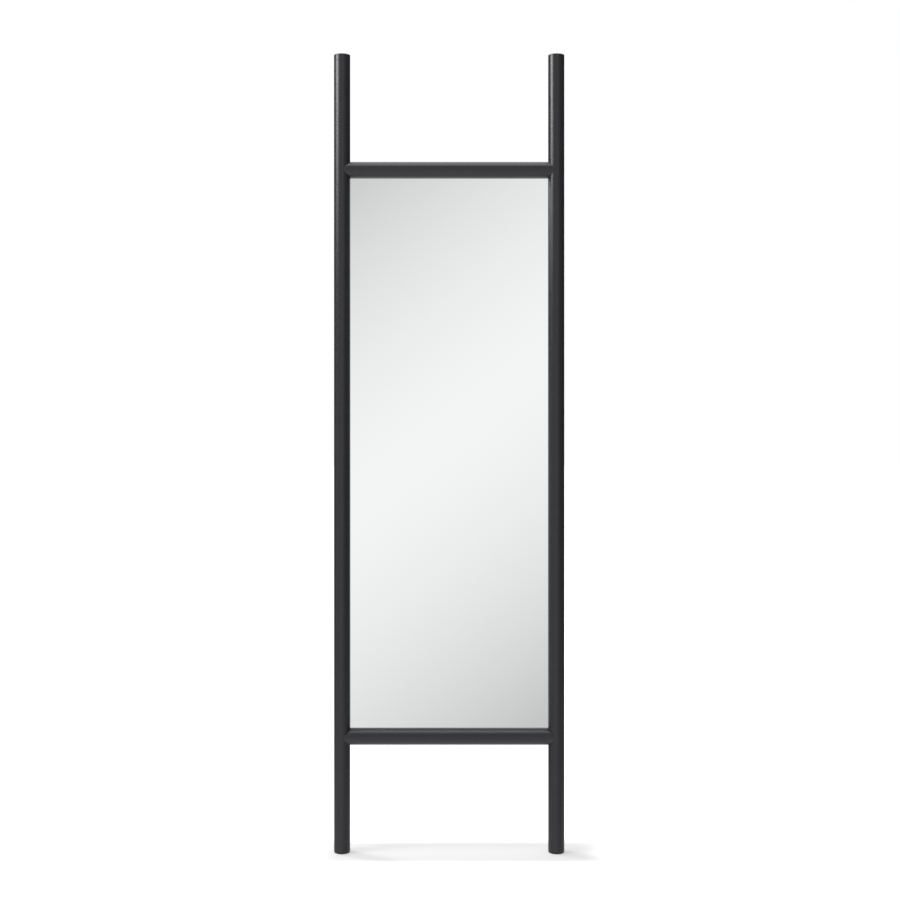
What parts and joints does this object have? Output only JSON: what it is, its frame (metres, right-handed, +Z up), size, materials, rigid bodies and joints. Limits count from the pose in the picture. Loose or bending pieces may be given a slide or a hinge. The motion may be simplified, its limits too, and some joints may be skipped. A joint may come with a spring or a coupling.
{
  "type": "full-length mirror",
  "caption": "Ladder-style leaning full-length mirror: a plain mirror between round posts and coped round rails, with the posts running on above and below.",
  "frame": {"origin": "on the floor, midway between the two posts, in the middle plane of the frame", "axes": "+Z up along the posts; the mirror faces -Y and the wall is at +Y; +X to the right as seen from the front"},
  "size_m": [0.5, 0.0365, 1.73],
  "materials": {
    "black_wood": "satin black paint",
    "mirror": "silvered float glass",
    "beech": "plain",
    "hardboard": "matt, smooth",
    "black_rubber": "matt",
    "foam_tape": "matt",
    "zinc_steel": "bright zinc",
    "brass": "turned"
  },
  "bodies": {
    "root": {"left_post": "black_wood", "right_post": "black_wood", "top_rail": "black_wood", "bottom_rail": "black_wood", "joint_dowels": "beech", "mirror_glass": "mirror", "setting_blocks": "black_rubber", "mounting_tape": "foam_tape", "backing_board": "hardboard", "backing_screws": "zinc_steel", "left_foot_pad": "black_rubber", "right_foot_pad": "black_rubber", "foot_screws": "zinc_steel", "left_wall_bumper": "black_rubber", "right_wall_bumper": "black_rubber", "left_wall_insert": "brass", "right_wall_insert": "brass"}
  },
  "joints": []
}
